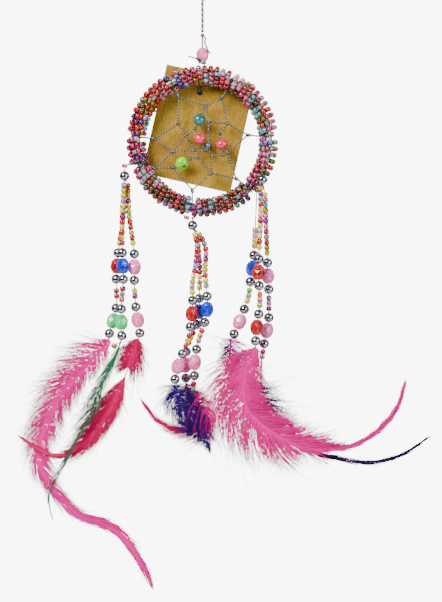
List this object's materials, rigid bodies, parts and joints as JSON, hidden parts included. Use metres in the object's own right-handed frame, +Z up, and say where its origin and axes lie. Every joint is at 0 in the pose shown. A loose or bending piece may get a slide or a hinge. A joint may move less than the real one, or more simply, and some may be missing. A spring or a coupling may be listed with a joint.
{
  "type": "dream catcher",
  "caption": "Small hanging dream catcher: bead-wrapped hoop with a knotted web, a card behind it and three tassels of beads and dyed feathers on a cord.",
  "frame": {"origin": "top of the hanging loop, where it goes over a hook", "axes": "+Z up, -Y towards the viewer (the front of the hoop), +X to the viewer's right"},
  "size_m": [0.1686, 0.021, 0.256],
  "materials": {
    "hanging_cord": "black cord with a silver strand twisted into it",
    "silver_thread": "twisted metallic thread",
    "hoop_wire": "plain steel wire under the winding",
    "seed_beads": "small glass seed beads in mixed colours, glossy",
    "silver_beads": "silver-plated round beads, mirror bright",
    "kraft_card": "brown kraft card, matt",
    "pink_crystal": "clear pink faceted acrylic",
    "red_crystal": "clear red faceted acrylic",
    "blue_crystal": "clear blue faceted acrylic",
    "green_crystal": "clear green faceted acrylic",
    "teal_crystal": "clear teal faceted acrylic",
    "lime_bead": "opaque lime plastic",
    "hot_pink_feather": "dyed marabou, soft barbs",
    "violet_feather": "dyed feather, soft barbs",
    "navy_feather": "dyed feather, soft barbs",
    "olive_feather": "dyed feather, soft barbs"
  },
  "bodies": {
    "hanger_cord": {"hanging_cord": "hanging_cord", "loop_knot": "hanging_cord"},
    "hanger": {"hanger_knot": "hanging_cord", "hanger_bead": "pink_crystal"},
    "hoop": {"hoop_ring": "hoop_wire", "hoop_beads_1": "seed_beads", "hoop_beads_2": "seed_beads", "hoop_beads_3": "seed_beads", "hoop_beads_4": "seed_beads", "hoop_beads_5": "seed_beads", "hoop_beads_6": "seed_beads", "hoop_beads_7": "seed_beads", "web_thread": "silver_thread", "web_bead_teal": "teal_crystal", "web_bead_pink_centre": "pink_crystal", "web_bead_pink_right": "pink_crystal", "web_bead_lime": "lime_bead", "hanger_tie": "silver_thread", "left_tie": "silver_thread", "middle_tie": "silver_thread", "right_tie": "silver_thread"},
    "card": {"card": "kraft_card"},
    "left_tassel": {"left_head_bead": "silver_beads", "left_strand_middle": "seed_beads", "left_crystal_middle_upper": "pink_crystal", "left_crystal_middle_lower": "pink_crystal", "feather_rose_hooked": "hot_pink_feather"},
    "left_front_strand": {"left_strand_front": "seed_beads", "left_crystal_front_upper": "blue_crystal", "left_crystal_front_lower": "green_crystal", "feather_olive": "olive_feather"},
    "left_back_strand": {"left_strand_back": "seed_beads", "left_crystal_back_upper": "red_crystal", "left_crystal_back_lower": "green_crystal", "feather_pink_long": "hot_pink_feather"},
    "middle_tassel": {"middle_head_bead": "silver_beads", "middle_strand_middle": "seed_beads", "middle_crystal_middle_upper": "blue_crystal", "middle_crystal_middle_lower": "pink_crystal"},
    "middle_front_strand": {"middle_strand_front": "seed_beads", "middle_crystal_front_upper": "red_crystal", "middle_crystal_front_lower": "pink_crystal", "feather_violet": "violet_feather"},
    "middle_back_strand": {"middle_strand_back": "seed_beads", "middle_crystal_back_upper": "blue_crystal", "middle_crystal_back_lower": "pink_crystal", "feather_pink_curl": "hot_pink_feather"},
    "right_tassel": {"right_head_bead": "silver_beads", "right_strand_middle": "seed_beads", "right_crystal_middle_upper": "blue_crystal", "right_crystal_middle_lower": "pink_crystal", "feather_navy": "navy_feather"},
    "right_front_strand": {"right_strand_front": "seed_beads", "right_crystal_front_upper": "red_crystal", "right_crystal_front_lower": "red_crystal", "feather_pink_sickle": "hot_pink_feather"},
    "right_back_strand": {"right_strand_back": "seed_beads", "right_crystal_back_upper": "pink_crystal", "right_crystal_back_lower": "pink_crystal", "feather_rose_short": "hot_pink_feather"}
  },
  "joints": [
    {"name": "hanger_swing", "type": "hinge", "parent": "hanger_cord", "child": "hanger", "pos_m": [0, 0, -0.0342], "axis": [0, 1, 0], "range_deg": [-35, 35]},
    {"name": "hoop_spin", "type": "hinge", "parent": "hanger", "child": "hoop", "pos_m": [0, 0, -0.04537], "axis": [0, 0, 1], "range_deg": [-180, 180]},
    {"name": "card_swing", "type": "hinge", "parent": "hoop", "child": "card", "pos_m": [-0.00109, 0.00543, -0.05647], "axis": [0, 1, 0], "range_deg": [-12, 12]},
    {"name": "left_tassel_swing", "type": "hinge", "parent": "hoop", "child": "left_tassel", "pos_m": [-0.03115, 0, -0.08639], "axis": [1, 0, 0], "range_deg": [-40, 40]},
    {"name": "middle_tassel_swing", "type": "hinge", "parent": "hoop", "child": "middle_tassel", "pos_m": [-0.00396, 0, -0.10724], "axis": [1, 0, 0], "range_deg": [-40, 30]},
    {"name": "right_tassel_swing", "type": "hinge", "parent": "hoop", "child": "right_tassel", "pos_m": [0.02368, -0.00623, -0.08919], "axis": [1, 0, 0], "range_deg": [-40, 0]},
    {"name": "left_front_strand_swing", "type": "hinge", "parent": "left_tassel", "child": "left_front_strand", "pos_m": [-0.03115, -0.0029, -0.09279], "axis": [1, 0, 0], "range_deg": [-40, 0]},
    {"name": "left_back_strand_swing", "type": "hinge", "parent": "left_tassel", "child": "left_back_strand", "pos_m": [-0.03135, 0.0026, -0.09279], "axis": [1, 0, 0], "range_deg": [0, 40]},
    {"name": "middle_front_strand_swing", "type": "hinge", "parent": "middle_tassel", "child": "middle_front_strand", "pos_m": [-0.00326, -0.0023, -0.11264], "axis": [1, 0, 0], "range_deg": [-40, 0]},
    {"name": "middle_back_strand_swing", "type": "hinge", "parent": "middle_tassel", "child": "middle_back_strand", "pos_m": [-0.00256, 0.0042, -0.11264], "axis": [1, 0, 0], "range_deg": [0, 40]},
    {"name": "right_front_strand_swing", "type": "hinge", "parent": "right_tassel", "child": "right_front_strand", "pos_m": [0.02298, -0.00963, -0.09469], "axis": [1, 0, 0], "range_deg": [-40, 0]},
    {"name": "right_back_strand_swing", "type": "hinge", "parent": "right_tassel", "child": "right_back_strand", "pos_m": [0.02438, -0.00303, -0.09469], "axis": [1, 0, 0], "range_deg": [0, 40]}
  ]
}
